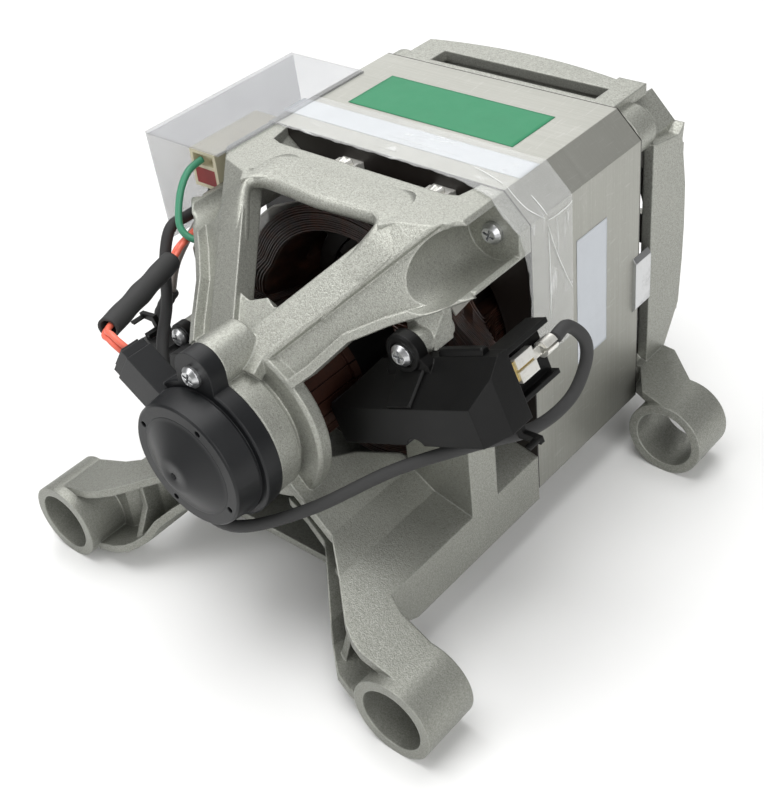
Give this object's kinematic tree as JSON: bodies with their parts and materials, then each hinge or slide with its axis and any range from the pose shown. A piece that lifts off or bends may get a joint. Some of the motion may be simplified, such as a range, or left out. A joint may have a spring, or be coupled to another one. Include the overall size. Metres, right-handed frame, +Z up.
{
  "type": "washing machine motor",
  "caption": "Brushed belt-drive washing machine motor: square lamination stack between die-cast shields, bush feet, speed sensor cap and side brush holders",
  "frame": {"origin": "midway between the two front foot bores, in the plane of their front faces", "axes": "+X right as seen from the sensor end, +Y from the sensor end to the drive end along the shaft, +Z up"},
  "size_m": [0.1894, 0.2395, 0.1393],
  "materials": {
    "cast_aluminium": "sand-cast satin",
    "lamination_steel": "satin",
    "enamelled_wire": "gloss enamel",
    "film": "gloss",
    "tinned_steel": "bright",
    "zinc_steel": "bright",
    "bearing_steel": "ground",
    "charcoal_plastic": "matte",
    "black_plastic": "matte",
    "brass": "satin",
    "black_rubber": "matte",
    "cream_plastic": "matte",
    "red_plastic": "gloss",
    "clear_sheet": "clear",
    "brown_cover": "satin",
    "red_cover": "satin",
    "green_cover": "satin",
    "blue_cover": "satin",
    "copper": "worn",
    "magnet": "matte",
    "carbon": "matte"
  },
  "bodies": {
    "frame": {"front_shield": "cast_aluminium", "rear_shield": "cast_aluminium", "stator_core": "lamination_steel", "field_coil_top": "enamelled_wire", "field_coil_bottom": "enamelled_wire", "coil_insulation": "film", "coil_terminals": "tinned_steel", "shield_bolts": "zinc_steel", "front_bearing_outer": "bearing_steel", "rear_bearing_outer": "bearing_steel", "tacho_cover": "charcoal_plastic", "tacho_coil": "enamelled_wire", "tacho_plug": "charcoal_plastic", "tacho_screw": "zinc_steel", "brush_holder_right": "black_plastic", "brush_holder_left": "black_plastic", "brush_guide_right": "brass", "brush_guide_left": "brass", "brush_terminal_right": "brass", "brush_terminal_left": "brass", "faston_right": "tinned_steel", "brush_boot_left": "black_rubber", "holder_screws": "zinc_steel", "terminal_block": "cream_plastic", "terminal_insert": "red_plastic", "splash_guard": "clear_sheet", "stator_clips": "zinc_steel", "brush_lead_right": "black_rubber", "brush_lead_left": "brown_cover", "tacho_lead_a": "red_cover", "tacho_lead_b": "red_cover", "lead_sleeve": "black_rubber", "earth_lead": "green_cover", "coil_lead": "blue_cover", "spring_right": "zinc_steel", "spring_left": "zinc_steel"},
    "rotor": {"rotor_shaft": "bearing_steel", "rotor_core": "lamination_steel", "rotor_winding": "enamelled_wire", "commutator": "copper", "commutator_hub": "black_plastic", "cooling_fan": "black_plastic", "front_bearing_inner": "bearing_steel", "rear_bearing_inner": "bearing_steel", "tacho_magnet": "magnet", "drive_pulley": "bearing_steel"},
    "right_brush": {"brush_right": "carbon"},
    "left_brush": {"brush_left": "carbon"}
  },
  "joints": [
    {"name": "rotor_spin", "type": "hinge", "parent": "frame", "child": "rotor", "pos_m": [0, 0.108, 0.062], "axis": [0, 1, 0], "continuous": true},
    {"name": "right_brush_slide", "type": "slide", "parent": "frame", "child": "right_brush", "axis": [0.9272, 0, 0.3746], "range_m": [0, 0.008], "stiffness_N_per_m": 300, "springref_m": -0.01, "deforming": ["spring_right"]},
    {"name": "left_brush_slide", "type": "slide", "parent": "frame", "child": "left_brush", "axis": [-0.9272, 0, -0.3746], "range_m": [0, 0.008], "stiffness_N_per_m": 300, "springref_m": -0.01, "deforming": ["spring_left"]}
  ]
}
